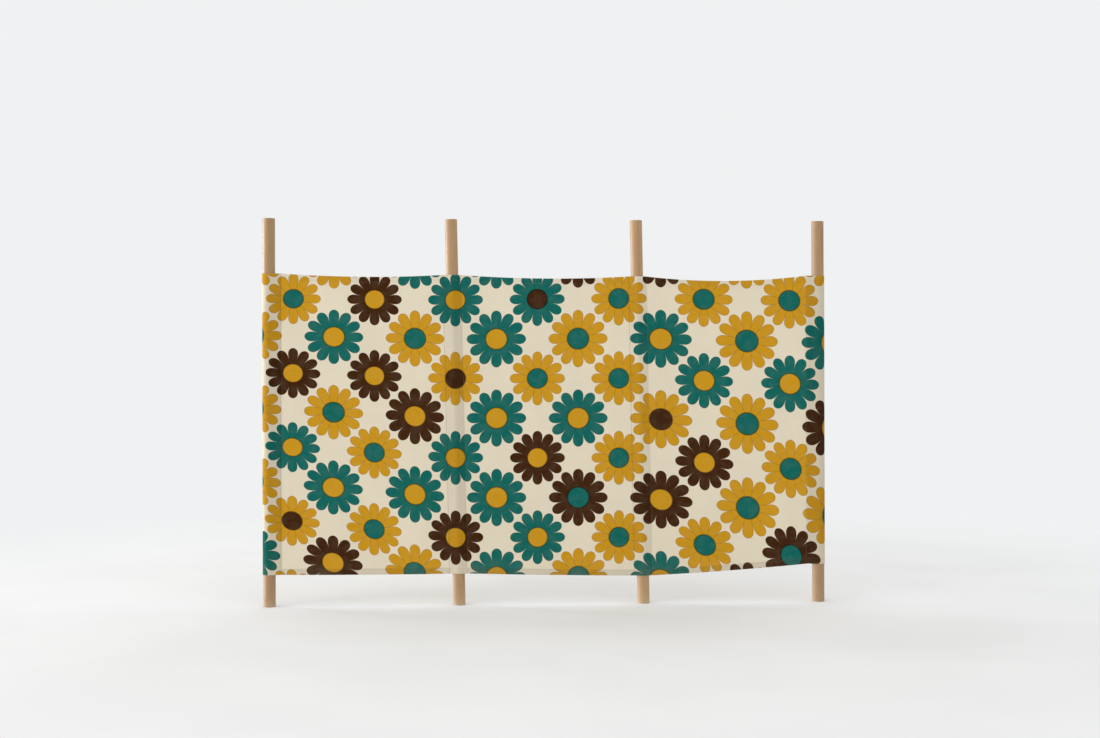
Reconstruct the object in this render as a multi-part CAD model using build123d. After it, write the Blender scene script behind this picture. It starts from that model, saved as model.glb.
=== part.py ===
from build123d import *
import os
from math import acos, atan2, cos, hypot, radians, sin, tan

os.makedirs("parts", exist_ok=True)

# A beach windbreak: one long cotton cloth in three bays, held up by four round wooden poles.
# The two end poles stand in sleeves made by wrapping the cloth's ends round them. The two
# middle poles stand in sleeves made by strips sewn to the back of the cloth.
# X runs along the bays, Y from the printed front to the back, and Z up. The ground is Z = 0,
# and the origin is the middle of the first pole's foot. Lengths are in millimetres.

# Poles
POLE_DIAMETER = 52.0
POLE_HEIGHT = 1630.0
POLE_TOP_ROUNDING = 1.5
POLE_PITCH = 778.0
# How far the top of each pole leans to the left of its foot, in degrees.
POLE_LEANS = [0.0, 1.24, 1.21, 0.25]
# How far each pole is set to the right of its even place, at the middle of the cloth.
POLE_SHIFTS = [0.0, 2.5, 9.5, 0.0]

# Cloth
CLOTH_THICKNESS = 0.8
LAYER_GAP = 0.3
HEM_WIDTH = 25.0
# The height of the cloth's top and bottom edges at each pole, above the ground.
TOP_AT_POLES = [1399.0, 1395.0, 1391.0, 1397.0]
BOTTOM_AT_POLES = [135.0, 134.0, 119.0, 163.0]
# How far each bay's edges sag below the straight line between its corners.
TOP_SAGS = [11.0, 12.0, 21.0]
BOTTOM_SAGS = [2.0, 2.0, 4.0]

# Sleeves
SLEEVE_BULGE = 11.0
MIDDLE_SEAM_OFFSET = 36.0
END_SEAM_OFFSET = 52.0
SEAM_ALLOWANCE = 12.0

# Sizes that follow from these
POLE_RADIUS = POLE_DIAMETER / 2
HEM_INNER = POLE_RADIUS + LAYER_GAP
SLEEVE_INNER = HEM_INNER + CLOTH_THICKNESS + LAYER_GAP
PIVOT_HEIGHT = (TOP_AT_POLES[0] + BOTTOM_AT_POLES[0]) / 2
LAST_POLE = len(POLE_LEANS) - 1
# The faces of the layers at a seam, from the printed front to the back.
CLOTH_BACK = SLEEVE_BULGE - SLEEVE_INNER
CLOTH_FRONT = CLOTH_BACK - CLOTH_THICKNESS
HEM_FRONT = CLOTH_BACK + LAYER_GAP
HEM_BACK = HEM_FRONT + CLOTH_THICKNESS
FLAP_FRONT = HEM_BACK + LAYER_GAP
FLAP_BACK = FLAP_FRONT + CLOTH_THICKNESS


def pole_x(pole, height):
    """Where a pole's axis is along the bays. The poles lean about the middle of the cloth."""
    middle = pole * POLE_PITCH + POLE_SHIFTS[pole]
    return middle + (PIVOT_HEIGHT - height) * tan(radians(POLE_LEANS[pole]))


def seam_offset(pole):
    if pole in (0, LAST_POLE):
        return END_SEAM_OFFSET
    return MIDDLE_SEAM_OFFSET


def save(solid, name):
    solid.label = name
    export_step(solid, "parts/" + name + ".step")


# Poles

def make_pole(pole):
    """A round pole, sawn off level with the ground, with its top edge slightly rounded."""
    lean = POLE_LEANS[pole]
    below = POLE_DIAMETER
    length = POLE_HEIGHT / cos(radians(lean)) + below
    bar = extrude(Circle(POLE_RADIUS), length)
    bar = fillet(bar.edges().sort_by(Axis.Z)[-1], POLE_TOP_ROUNDING)
    bar = Rot(0, -lean, 0) * (Pos(0, 0, -below) * bar)
    bar = Pos(pole_x(pole, 0), 0, 0) * bar
    reach = 4 * POLE_DIAMETER
    ground = Pos(pole_x(pole, 0), 0, -reach / 2) * Box(reach, reach, reach)
    return (bar - ground).solid()


# Flat cloth between two poles

def edge_arc(bay, left, right, sag):
    """An edge of a bay, sagging between its two seams."""
    x_left = pole_x(bay, left) + seam_offset(bay)
    x_right = pole_x(bay + 1, right) - seam_offset(bay + 1)
    middle = ((x_left + x_right) / 2, (left + right) / 2 - sag)
    return ThreePointArc((x_left, left), middle, (x_right, right))


def make_panel(low, high, front):
    """A flat layer of cloth between a low and a high edge, with its front face at Y = front."""
    sides = [Line(low @ 1, high @ 1), Line(low @ 0, high @ 0)]
    outline = make_face(Wire([low, sides[0], high, sides[1]]))
    return extrude(Plane.XZ * outline, -CLOTH_THICKNESS).moved(Pos(0, front, 0)).solid()


def make_bay(bay):
    """One bay of the cloth with its two hems, which are turned to the back."""
    tops = [TOP_AT_POLES[bay], TOP_AT_POLES[bay + 1]]
    bottoms = [BOTTOM_AT_POLES[bay], BOTTOM_AT_POLES[bay + 1]]
    top = edge_arc(bay, tops[0], tops[1], TOP_SAGS[bay])
    bottom = edge_arc(bay, bottoms[0], bottoms[1], BOTTOM_SAGS[bay])
    below_top = edge_arc(bay, tops[0] - HEM_WIDTH, tops[1] - HEM_WIDTH, TOP_SAGS[bay])
    above_bottom = edge_arc(bay, bottoms[0] + HEM_WIDTH, bottoms[1] + HEM_WIDTH, BOTTOM_SAGS[bay])
    number = str(bay + 1)
    return {
        "bay_cloth_" + number: make_panel(bottom, top, CLOTH_FRONT),
        "bay_top_hem_" + number: make_panel(below_top, top, HEM_FRONT),
        "bay_bottom_hem_" + number: make_panel(bottom, above_bottom, HEM_FRONT),
    }


# Sleeves round the poles

def touch_point(start, radius, side):
    """Where a straight run from a point touches a circle round the pole. A run along the
    front of the pole has side = -1, and a run along its back has side = 1."""
    towards = atan2(start[1], start[0])
    swing = acos(radius / hypot(start[0], start[1]))
    angle = towards + side * swing if start[0] > 0 else towards - side * swing
    return (radius * cos(angle), radius * sin(angle))


def mirrored(point):
    return (-point[0], point[1])


def arc_over(start, radius, side, end):
    """The arc round the front or the back of the pole, from start to end."""
    return ThreePointArc(start, (0, side * radius), end)


def raise_section(edges, pole, low, high):
    """Raise a plan section along a leaning pole, from one height to another."""
    face = make_face(Wire(edges))
    lean = radians(POLE_LEANS[pole])
    along = Vector(-sin(lean), 0, cos(lean))
    solid = extrude(face, (high - low) / cos(lean), dir=along)
    return Pos(pole_x(pole, low), 0, low) * solid.solid()


def front_section(inner_radius, front, back):
    """Cloth drawn over the front of a middle pole, from seam to seam."""
    inner_start = (MIDDLE_SEAM_OFFSET, back)
    outer_start = (MIDDLE_SEAM_OFFSET, front)
    outer_radius = inner_radius + CLOTH_THICKNESS
    inner = touch_point(inner_start, inner_radius, -1)
    outer = touch_point(outer_start, outer_radius, -1)
    return [
        Line(inner_start, inner),
        arc_over(inner, inner_radius, -1, mirrored(inner)),
        Line(mirrored(inner), mirrored(inner_start)),
        Line(mirrored(inner_start), mirrored(outer_start)),
        Line(mirrored(outer_start), mirrored(outer)),
        arc_over(mirrored(outer), outer_radius, -1, outer),
        Line(outer, outer_start),
        Line(outer_start, inner_start),
    ]


def strip_section():
    """The strip behind a middle pole, with a sewn flap at each side."""
    seam = MIDDLE_SEAM_OFFSET
    flap_end = seam + SEAM_ALLOWANCE
    corner = (seam, FLAP_FRONT)
    outer_corner = (seam + CLOTH_THICKNESS / 2, FLAP_BACK)
    outer_radius = SLEEVE_INNER + CLOTH_THICKNESS
    inner = touch_point(corner, SLEEVE_INNER, 1)
    outer = touch_point(outer_corner, outer_radius, 1)
    return [
        Line((flap_end, FLAP_FRONT), corner),
        Line(corner, inner),
        arc_over(inner, SLEEVE_INNER, 1, mirrored(inner)),
        Line(mirrored(inner), mirrored(corner)),
        Line(mirrored(corner), (-flap_end, FLAP_FRONT)),
        Line((-flap_end, FLAP_FRONT), (-flap_end, FLAP_BACK)),
        Line((-flap_end, FLAP_BACK), mirrored(outer_corner)),
        Line(mirrored(outer_corner), mirrored(outer)),
        arc_over(mirrored(outer), outer_radius, 1, outer),
        Line(outer, outer_corner),
        Line(outer_corner, (flap_end, FLAP_BACK)),
        Line((flap_end, FLAP_BACK), (flap_end, FLAP_FRONT)),
    ]


def strip_hem_section():
    """The strip's own hem, turned in between the strip and the pole."""
    seam = MIDDLE_SEAM_OFFSET
    outer_start = (seam, FLAP_FRONT)
    inner_start = (seam - CLOTH_THICKNESS, FLAP_FRONT)
    outer_radius = HEM_INNER + CLOTH_THICKNESS
    inner = touch_point(inner_start, HEM_INNER, 1)
    outer = touch_point(outer_start, outer_radius, 1)
    return [
        Line(inner_start, inner),
        arc_over(inner, HEM_INNER, 1, mirrored(inner)),
        Line(mirrored(inner), mirrored(inner_start)),
        Line(mirrored(inner_start), mirrored(outer_start)),
        Line(mirrored(outer_start), mirrored(outer)),
        arc_over(mirrored(outer), outer_radius, 1, outer),
        Line(outer, outer_start),
        Line(outer_start, inner_start),
    ]


def wrap_runs(side, front_start, back_start, radius):
    """A surface of a wrapped end: along the front, round the outside and back to the seam.
    The end pole's seam is on its right for side = 1, and on its left for side = -1."""
    front = (side * front_start[0], front_start[1])
    back = (side * back_start[0], back_start[1])
    touches = [touch_point(front, radius, -1), touch_point(back, radius, 1)]
    return [
        Line(front, touches[0]),
        ThreePointArc(touches[0], (-side * radius, 0), touches[1]),
        Line(touches[1], back),
    ]


def end_section(side):
    """The end of the cloth, wrapped round an end pole and sewn to the back of the bay."""
    seam = END_SEAM_OFFSET
    flap_end = (side * (seam + SEAM_ALLOWANCE), FLAP_BACK)
    flap_start = (side * (seam + SEAM_ALLOWANCE), FLAP_FRONT)
    inner = wrap_runs(side, (seam, CLOTH_BACK), (seam, FLAP_FRONT), SLEEVE_INNER)
    corner = (seam + CLOTH_THICKNESS / 2, FLAP_BACK)
    outer = wrap_runs(side, (seam, CLOTH_FRONT), corner, SLEEVE_INNER + CLOTH_THICKNESS)
    return inner + outer + [
        Line(inner[0] @ 0, outer[0] @ 0),
        Line(inner[2] @ 1, flap_start),
        Line(flap_start, flap_end),
        Line(flap_end, outer[2] @ 1),
    ]


def end_hem_section(side):
    """The hem of a wrapped end, turned in between the cloth and the pole."""
    seam = END_SEAM_OFFSET
    inner_back = (seam - CLOTH_THICKNESS, FLAP_FRONT)
    inner = wrap_runs(side, (seam, HEM_BACK), inner_back, HEM_INNER)
    outer = wrap_runs(side, (seam, HEM_FRONT), (seam, FLAP_FRONT), HEM_INNER + CLOTH_THICKNESS)
    return inner + outer + [
        Line(inner[0] @ 0, outer[0] @ 0),
        Line(inner[2] @ 1, outer[2] @ 1),
    ]


def hem_pair(edges, pole, names):
    """The same hem section at the top and at the bottom of a sleeve."""
    top = TOP_AT_POLES[pole]
    bottom = BOTTOM_AT_POLES[pole]
    return {
        names[0]: raise_section(edges, pole, top - HEM_WIDTH, top),
        names[1]: raise_section(edges, pole, bottom, bottom + HEM_WIDTH),
    }


def make_middle_sleeve(pole):
    number = str(pole + 1)
    low = BOTTOM_AT_POLES[pole]
    high = TOP_AT_POLES[pole]
    front = front_section(SLEEVE_INNER, CLOTH_FRONT, CLOTH_BACK)
    front_hem = front_section(HEM_INNER, HEM_FRONT, HEM_BACK)
    pieces = {
        "sleeve_front_" + number: raise_section(front, pole, low, high),
        "sleeve_strip_" + number: raise_section(strip_section(), pole, low, high),
    }
    pieces.update(hem_pair(front_hem, pole, [
        "sleeve_front_top_hem_" + number,
        "sleeve_front_bottom_hem_" + number,
    ]))
    pieces.update(hem_pair(strip_hem_section(), pole, [
        "sleeve_strip_top_hem_" + number,
        "sleeve_strip_bottom_hem_" + number,
    ]))
    return pieces


def make_end_sleeve(pole):
    number = str(pole + 1)
    side = 1 if pole == 0 else -1
    sleeve = raise_section(end_section(side), pole, BOTTOM_AT_POLES[pole], TOP_AT_POLES[pole])
    pieces = {"end_sleeve_" + number: sleeve}
    pieces.update(hem_pair(end_hem_section(side), pole, [
        "end_top_hem_" + number,
        "end_bottom_hem_" + number,
    ]))
    return pieces


pieces = {}
for pole in range(LAST_POLE + 1):
    pieces["pole_" + str(pole + 1)] = make_pole(pole)
for bay in range(LAST_POLE):
    pieces.update(make_bay(bay))
for pole in range(1, LAST_POLE):
    pieces.update(make_middle_sleeve(pole))
for pole in (0, LAST_POLE):
    pieces.update(make_end_sleeve(pole))
for name, solid in pieces.items():
    save(solid, name)
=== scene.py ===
from functools import partial
from math import acos, atan2, ceil, cos, hypot, pi, radians, sin

import bpy
import numpy as np
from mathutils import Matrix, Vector


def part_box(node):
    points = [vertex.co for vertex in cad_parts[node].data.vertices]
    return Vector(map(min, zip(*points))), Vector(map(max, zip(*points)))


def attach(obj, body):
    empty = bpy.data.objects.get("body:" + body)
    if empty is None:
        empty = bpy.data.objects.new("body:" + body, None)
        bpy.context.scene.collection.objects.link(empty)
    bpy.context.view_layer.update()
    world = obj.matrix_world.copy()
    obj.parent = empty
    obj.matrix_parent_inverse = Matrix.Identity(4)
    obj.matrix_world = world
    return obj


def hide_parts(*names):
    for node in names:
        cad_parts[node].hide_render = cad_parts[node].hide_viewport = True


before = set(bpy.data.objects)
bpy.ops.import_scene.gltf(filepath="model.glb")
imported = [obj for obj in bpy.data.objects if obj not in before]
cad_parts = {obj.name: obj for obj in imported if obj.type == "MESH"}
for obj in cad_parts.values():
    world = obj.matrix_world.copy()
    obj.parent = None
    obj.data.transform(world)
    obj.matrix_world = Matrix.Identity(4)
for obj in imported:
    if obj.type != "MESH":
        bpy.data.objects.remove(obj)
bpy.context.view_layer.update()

# A beach windbreak: a long printed cotton cloth in three bays, carried by four round wooden
# poles in sleeves. X runs along the bays, Y from the printed front to the back, and Z up.
# Lengths are in metres, and the ground is Z = 0. The code counts poles and bays from 0, and the
# names of the pieces count them from 1.

# Cloth
CLOTH = 0.0008
LAYER_GAP = 0.0003
HEM = 0.025
SEAM_FLAP = 0.012
MIDDLE_SEAM = 0.036
END_SEAM = 0.052
TOP_SAGS = (0.011, 0.012, 0.021)
BOTTOM_SAGS = (0.002, 0.002, 0.004)
HEM_BACK = 2 * CLOTH + LAYER_GAP
FOLD_RADIUS = HEM_BACK / 2

# The grid that the cloth is made of
BAY_COLUMNS = 106
CLOTH_ROWS = 210
HEM_ROWS = 5
FOLD_ROWS = 6
RUN_COLUMNS = 7
FLAP_COLUMNS = 4
ARC_COLUMNS_PER_TURN = 56
SAME_POINT = 1e-6
EDGE_MARGIN = 0.012

# Relief of the stretched cloth. A wave is the length of one fold or wrinkle, and a swell the
# length over which the folds or wrinkles grow and fade.
FOLD_DEPTH = 0.0016
FOLD_SWAY = 0.05
FOLD_SWAY_WAVE = 1.7
WIDE_FOLD_WAVE = 0.41
NARROW_FOLD_WAVE = 0.173
NARROW_FOLD_SWELL = 0.9
FOLD_START = 0.12
DRAG_DEPTH = 0.00055
DRAG_REACH = 0.075
DRAG_WAVE = 0.083
DRAG_SWELL = 0.37
FINE_DRAG_WAVE = 0.047
FINE_DRAG_SWELL = 0.53
FAN_DEPTH = 0.0006
FAN_REACH = 0.13
FAN_START = (0.01, 0.05)
FAN_WRINKLES = 11
HEM_RIPPLE = 0.00035
HEM_RIPPLE_REACH = 0.045
HEM_RIPPLE_WAVE = 0.034
HEM_RIPPLE_SWELL = 0.29
SLOW_HEM_RIPPLE_WAVE = 0.061
CALM_BY_SEAM = 0.03
HELD_BY_POLE = 0.003

# Thread
THREAD_RADIUS = 0.00024
STITCH_PITCH = 0.0034
STITCH_LENGTH = 0.0027
STITCH_ROW_INSET = 0.003
HEM_STITCH_INSET = 0.022
STITCH_ROW_START = 0.002
BAY_ROW_START_SHARE = 0.022
LONG_ROW_POINTS = 400
SLEEVE_ROW_POINTS = 200
TO_THE_FRONT = (0, -1, 0)
TO_THE_BACK = (0, 1, 0)

# The print. Flowers stand in columns and rows, with a second set halfway between the first.
# These give, at four places along the cloth, the column number, the height of row 0, the
# height of one row, how the rows grow downwards and how far the columns lean. All but the
# places are fitted to the middles of 47 flowers in the photo.
PRINT_PLACES = (0.0, 0.765, 1.5505, 2.3306)
COLUMN_AT_PLACES = (-0.587, 3.909, 8.447, 12.647)
FIRST_ROW_AT_PLACES = (1.2936, 1.289, 1.2983, 1.2877)
ROW_PITCH_AT_PLACES = (0.3094, 0.3297, 0.3404, 0.3536)
ROW_GROWTH_AT_PLACES = (-0.0013, 0.0021, -0.001, 0.0066)
COLUMN_LEAN_AT_PLACES = (0.0081, -0.0009, -0.0017, -0.0114)
UPRIGHT_ROW = 3
STRIP_PRINT_SHIFT = (3.4, 1.3)

# One flower. Its size is its radius in columns and in half rows. The other lengths are shares
# of that radius, measured from the flower's middle or from a petal's middle line.
EVEN_FLOWER_SIZE = (0.667, 0.672)
ODD_FLOWER_SIZE = (0.717, 0.715)
PETALS = 12
PETAL_SECTOR = 2 * pi / PETALS
PETAL_HALF_WIDTH = 0.1812
PETAL_WIDEST = 0.705
PETAL_TAPER = 0.2
PETAL_TIP_START = 0.79
PETAL_TIP_LENGTH = 0.218
CENTRE_RADIUS = 0.369
PRINT_SOFTNESS = 0.006

# How the inks are dealt out to the flowers. The counts and repeats were picked by a search for
# those that agree best with the inks of 66 flowers in the photo.
MUSTARD_SHARE = 0.41
TEAL_SHARE = 0.36
USUAL_CENTRE_SHARE = 0.72
PETAL_INK_COUNT = (12, 11, 24, 1)
PETAL_INK_REPEAT = 29.0
CENTRE_INK_COUNT = (5, 7, 4, 4)
CENTRE_INK_REPEAT = 12.0

LAST_POLE = 3


# Places read from the frame

def read_pole(number):
    """A pole's foot, lean and radius from its box. It leans in the plane of the cloth."""
    low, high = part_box(f"pole_{number}")
    radius = (high[1] - low[1]) / 2
    foot = high[0] - radius
    slope = (foot - low[0] - radius) / POLE_HEIGHT
    sleeve = f"end_sleeve_{number}" if number in (1, LAST_POLE + 1) else f"sleeve_front_{number}"
    cloth_low, cloth_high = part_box(sleeve)
    return {"foot": foot, "slope": slope, "radius": radius, "low": cloth_low[2], "high": cloth_high[2]}


POLE_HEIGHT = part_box("pole_1")[1][2]
POLES = [read_pole(number) for number in range(1, LAST_POLE + 2)]
POLE_RADIUS = POLES[0]["radius"]
MIDDLE_HEIGHT = (POLES[0]["low"] + POLES[0]["high"]) / 2
SLEEVE_OUTER = POLE_RADIUS + 2 * (LAYER_GAP + CLOTH)
CLOTH_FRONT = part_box("bay_cloth_1")[0][1]
FLAP_BACK = CLOTH_FRONT + 3 * CLOTH + 2 * LAYER_GAP


def pole_x(pole, height):
    """Where the middle of a pole is at a height."""
    return POLES[pole]["foot"] - height * POLES[pole]["slope"]


def seam_offset(pole):
    """How far a sleeve's seams are from the middle of its pole."""
    return END_SEAM if pole in (0, LAST_POLE) else MIDDLE_SEAM


def rise(value, start, end):
    """0 up to start, 1 from end on, and smooth between them."""
    share = np.clip((value - start) / (end - start), 0, 1)
    return share * share * (3 - 2 * share)


def lengths_along(points):
    """The length of a line up to each of its points."""
    steps = np.linalg.norm(np.diff(points, axis=0), axis=1)
    return np.concatenate([[0], np.cumsum(steps)])


def sample(values, lengths, at):
    """Values that are known at some lengths along a line, at other lengths along it."""
    return np.stack([np.interp(at, lengths, axis) for axis in values.T], -1)


# Relief of the cloth

def wave(place, length, phase=0.0):
    """A sine wave of a length, from -1 to 1."""
    return np.sin(2 * pi * place / length + phase)


def long_folds(x, z):
    """Soft folds that run down the cloth between two poles."""
    sway = FOLD_SWAY * wave(z, FOLD_SWAY_WAVE, 0.4)
    wide = wave(x + sway, WIDE_FOLD_WAVE, 0.5)
    swell = 0.6 + 0.4 * np.cos(2 * pi * z / NARROW_FOLD_SWELL)
    narrow = 0.45 * wave(x - sway, NARROW_FOLD_WAVE, 2.3) * swell
    return FOLD_DEPTH * (wide + narrow)


def drag_lines(z, seed):
    """Short level wrinkles pulled out of a seam by the stretched cloth."""
    coarse = wave(z, DRAG_WAVE, 1.7 * seed) * (0.55 + 0.45 * wave(z, DRAG_SWELL, seed))
    fine = 0.6 * wave(z, FINE_DRAG_WAVE, 2.9 * seed) * wave(z, FINE_DRAG_SWELL, 0.7 * seed)
    return DRAG_DEPTH * (coarse + fine)


def corner_fan(across, up, seed):
    """Wrinkles that spread into a bay from a corner at a pole."""
    distance = np.hypot(across, up)
    angle = np.arctan2(up, across)
    fade = np.exp(-distance / FAN_REACH) * rise(across, 0, CALM_BY_SEAM) * rise(distance, *FAN_START)
    return FAN_DEPTH * np.sin(FAN_WRINKLES * angle + seed) * fade


def hem_ripples(x, from_edge, from_pole, from_seam):
    """Fine ripples along a hem. Each pole's share of them is gone 0.7 m away from it."""
    ripple = wave(x, HEM_RIPPLE_WAVE, 2 * wave(x, HEM_RIPPLE_SWELL)) + 0.6 * wave(x, SLOW_HEM_RIPPLE_WAVE)
    close = np.exp(-from_edge / HEM_RIPPLE_REACH) * rise(1 - from_pole, 0.3, 1)
    return HEM_RIPPLE * ripple * close * rise(from_seam, 0, CALM_BY_SEAM)


def relief(x, z):
    """How far the stretched cloth stands back from its flat plane. It is flat round a pole."""
    shape = np.zeros_like(x)
    near_seam = np.full_like(x, 1.0)
    held = np.full_like(x, 1.0)
    for pole in range(LAST_POLE + 1):
        offset = x - pole_x(pole, z)
        side = np.where(offset > 0, 1, -1)
        from_pole = np.abs(offset)
        from_seam = from_pole - seam_offset(pole)
        in_bay = np.maximum(from_seam, 0)
        near_seam = np.minimum(near_seam, from_seam)
        held = np.minimum(held, rise(from_pole, POLE_RADIUS + HELD_BY_POLE, seam_offset(pole)))
        shape += drag_lines(z, 2.1 * pole + side) * np.exp(-in_bay / DRAG_REACH)
        for edge, sign in ((POLES[pole]["high"], -1), (POLES[pole]["low"], 1)):
            from_edge = np.abs(z - edge)
            shape += corner_fan(in_bay, from_edge, pole + 3 * sign + side)
            shape += hem_ripples(x, from_edge, from_pole, from_seam)
    shape += long_folds(x, z) * rise(near_seam, 0, FOLD_START)
    return shape * held


# The print's own coordinates

def print_place(flat_x, cloth_height, shift=(0, 0)):
    """Column and half-row number of the print at a place on the cloth."""
    row_zero = along_print(flat_x, FIRST_ROW_AT_PLACES)
    even_row = 2 * (row_zero - cloth_height) / along_print(flat_x, ROW_PITCH_AT_PLACES)
    half_row = even_row - along_print(flat_x, ROW_GROWTH_AT_PLACES) * even_row ** 2
    lean = along_print(flat_x, COLUMN_LEAN_AT_PLACES)
    column = along_print(flat_x, COLUMN_AT_PLACES) + lean * (half_row - UPRIGHT_ROW)
    return column + shift[0], half_row + shift[1]


def along_print(flat_x, values):
    """A value of the print along the cloth, straight between its places and beyond them."""
    result = np.full_like(flat_x, values[0])
    for bay in range(LAST_POLE):
        start, end = PRINT_PLACES[bay], PRINT_PLACES[bay + 1]
        past = flat_x - start if bay == 0 else np.maximum(flat_x - start, 0)
        if bay < LAST_POLE - 1:
            past = np.minimum(past, end - start)
        result += past * (values[bay + 1] - values[bay]) / (end - start)
    return result


# Meshes and objects

def new_mesh(name, points, faces, materials):
    mesh = bpy.data.meshes.new(name)
    mesh.from_pydata(points, [], faces)
    for material in materials:
        mesh.materials.append(material)
    return mesh


def add_map(mesh, name, places):
    """A UV map with a place for every corner of every face."""
    layer = mesh.uv_layers.new(name=name)
    layer.uv.foreach_set("vector", places.astype(np.float32).reshape(-1))


def put_in_scene(name, data):
    """A new object that shows a mesh or holds a lamp or a camera."""
    item = bpy.data.objects.new(name, data)
    bpy.context.scene.collection.objects.link(item)
    return item


# Cloth with turned hems

def hem_stations(share, sign):
    """The fold at an edge of the cloth and the hem behind it, up to the hem's own edge. sign is 1
    for the bottom edge and -1 for the top."""
    inner_radius = FOLD_RADIUS - CLOTH
    stations = []
    for turn in np.linspace(0, pi, FOLD_ROWS + 1)[1:]:
        stations.append((
            share,
            sign * (FOLD_RADIUS - FOLD_RADIUS * sin(turn)),
            sign * (FOLD_RADIUS - inner_radius * sin(turn)),
            FOLD_RADIUS - FOLD_RADIUS * cos(turn),
            FOLD_RADIUS - inner_radius * cos(turn),
            sign * (FOLD_RADIUS - FOLD_RADIUS * turn),
        ))
    for add in np.linspace(FOLD_RADIUS, HEM, HEM_ROWS + 1)[1:]:
        along = 2 * FOLD_RADIUS - pi * FOLD_RADIUS - add
        stations.append((share, sign * add, sign * add, HEM_BACK, HEM_BACK - CLOTH, sign * along))
    return stations


def cloth_section(hems):
    """The section of a length of cloth, from the edge of its top hem, over the fold, down the
    front and under the fold to the edge of its bottom hem, or without hems from edge to edge.
    Each station is a share of the way from the low to the high edge, a height added to it for
    the outer and the inner face, the depth of both faces, and what is added along the cloth."""
    fold = FOLD_RADIUS if hems else 0
    stations = hem_stations(1, -1)[::-1] if hems else []
    for share in np.linspace(1, 0, CLOTH_ROWS + 1):
        add = fold - 2 * share * fold
        stations.append((share, add, add, 0, CLOTH, add))
    if hems:
        stations.extend(hem_stations(0, 1))
    return np.array(stations).T[:, :, None]


class Cloth:
    """The parts of one cloth piece, gathered before they become a mesh."""

    OUTER = 0
    INNER = 1
    CUT_EDGE = 2

    def __init__(self):
        self.points = []
        self.faces = []
        self.sides = []
        self.maps = {"OFBake": [], "print": [], "cut": [], "edge": []}
        self.count = 0
        self.bake_x = EDGE_MARGIN

    def add(self, place, columns, lengths, flat_x, low, high, seam_gap, hems=True, shift=(0, 0)):
        """One closed length of folded cloth. place gives points, columns are its parameters,
        lengths the same in metres, and flat_x where each would be with the cloth laid flat."""
        share, outer_add, inner_add, outer_depth, inner_depth, along = cloth_section(hems)
        base = low + share * (high - low)
        cloth_height = base + along
        shape = cloth_height.shape
        wide = np.broadcast_to(columns, shape)
        cut = np.stack([np.broadcast_to(lengths, shape), cloth_height], -1)
        edge_gap = np.minimum(np.abs(high - cloth_height), np.abs(cloth_height - low))
        edge = np.stack([edge_gap, np.broadcast_to(seam_gap, shape)], -1)
        bake = cut - [lengths[0], cloth_height.min()]
        bake_width = lengths[-1] - lengths[0] + EDGE_MARGIN
        for add, depth, order in ((outer_add, outer_depth, 1), (inner_add, inner_depth, -1)):
            height = base + add
            values = {
                "OFBake": bake + [self.bake_x, EDGE_MARGIN],
                "print": np.stack(print_place(flat_x(wide, height), cloth_height, shift), -1),
                "cut": cut,
                "edge": edge,
            }
            for name, value in values.items():
                self.maps[name].append(value[::order].reshape(-1, 2))
            points = np.stack(place(wide, height, np.broadcast_to(depth, shape)), -1)
            self.points.append(points[::order].reshape(-1, 3))
            self.bake_x += bake_width
        self.join(*shape)

    def join(self, stations, across):
        """The faces of a closed length: outer face, inner face and the cut edges between them."""
        total = 2 * stations
        station, column = np.meshgrid(np.arange(total), np.arange(across - 1), indexing="ij")
        after = (station + 1) % total
        quads = np.stack([
            station * across + column,
            after * across + column,
            after * across + column + 1,
            station * across + column + 1,
        ], -1).reshape(-1, 4)
        inner = (station >= stations) & (station < total - 1)
        sides = np.where(inner, self.INNER, self.CUT_EDGE)
        sides = np.where(station < stations - 1, self.OUTER, sides)
        row = np.arange(stations - 1)
        ends = []
        for column, order in ((0, 1), (across - 1, -1)):
            corners = [row, total - 1 - row, total - 2 - row, row + 1]
            ends.append(np.stack([corner * across + column for corner in corners], -1)[:, ::order])
        self.faces.append(np.concatenate([quads] + ends) + self.count)
        self.sides.append(np.concatenate([sides.reshape(-1), np.full(2 * len(row), self.CUT_EDGE)]))
        self.count += total * across

    def build(self, name):
        """The finished piece, with all its faces turned outwards."""
        points = np.concatenate(self.points)
        faces = np.concatenate(self.faces)
        sides = np.concatenate(self.sides)
        corners = points[faces]
        volume = 0
        for second, third in ((1, 2), (2, 3)):
            volume += (corners[:, 0] * np.cross(corners[:, second], corners[:, third])).sum()
        if volume < 0:
            faces = faces[:, ::-1]
        materials = [MATERIALS["printed face"], MATERIALS["reverse"]]
        mesh = new_mesh(name, points.tolist(), faces.tolist(), materials)
        maps = {key: np.concatenate(value) for key, value in self.maps.items()}
        maps["OFBake"] = maps["OFBake"] / (maps["OFBake"].max() + EDGE_MARGIN)
        for key, value in maps.items():
            add_map(mesh, key, value[faces.reshape(-1)])
        mesh.polygons.foreach_set("material_index", np.where(sides == self.INNER, 1, 0).astype(np.int32))
        mesh.shade_smooth()
        return put_in_scene(name, mesh)


def finish_cloth(piece, nodes):
    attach(piece, "root")
    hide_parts(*nodes)


# Flat bays

def bay_sides(bay, height):
    """Where a bay's two seams are at a height."""
    left = pole_x(bay, height) + seam_offset(bay)
    right = pole_x(bay + 1, height) - seam_offset(bay + 1)
    return left, right


def bay_x(bay, share, height):
    """Where a share of the way across a bay is at a height."""
    left, right = bay_sides(bay, height)
    return left + share * (right - left)


def bay_edge(bay, share, key, sags):
    """The height of a bay's top or bottom edge, a share of the way along it."""
    left, right = POLES[bay][key], POLES[bay + 1][key]
    return left + share * (right - left) - 4 * sags[bay] * share * (1 - share)


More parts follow.
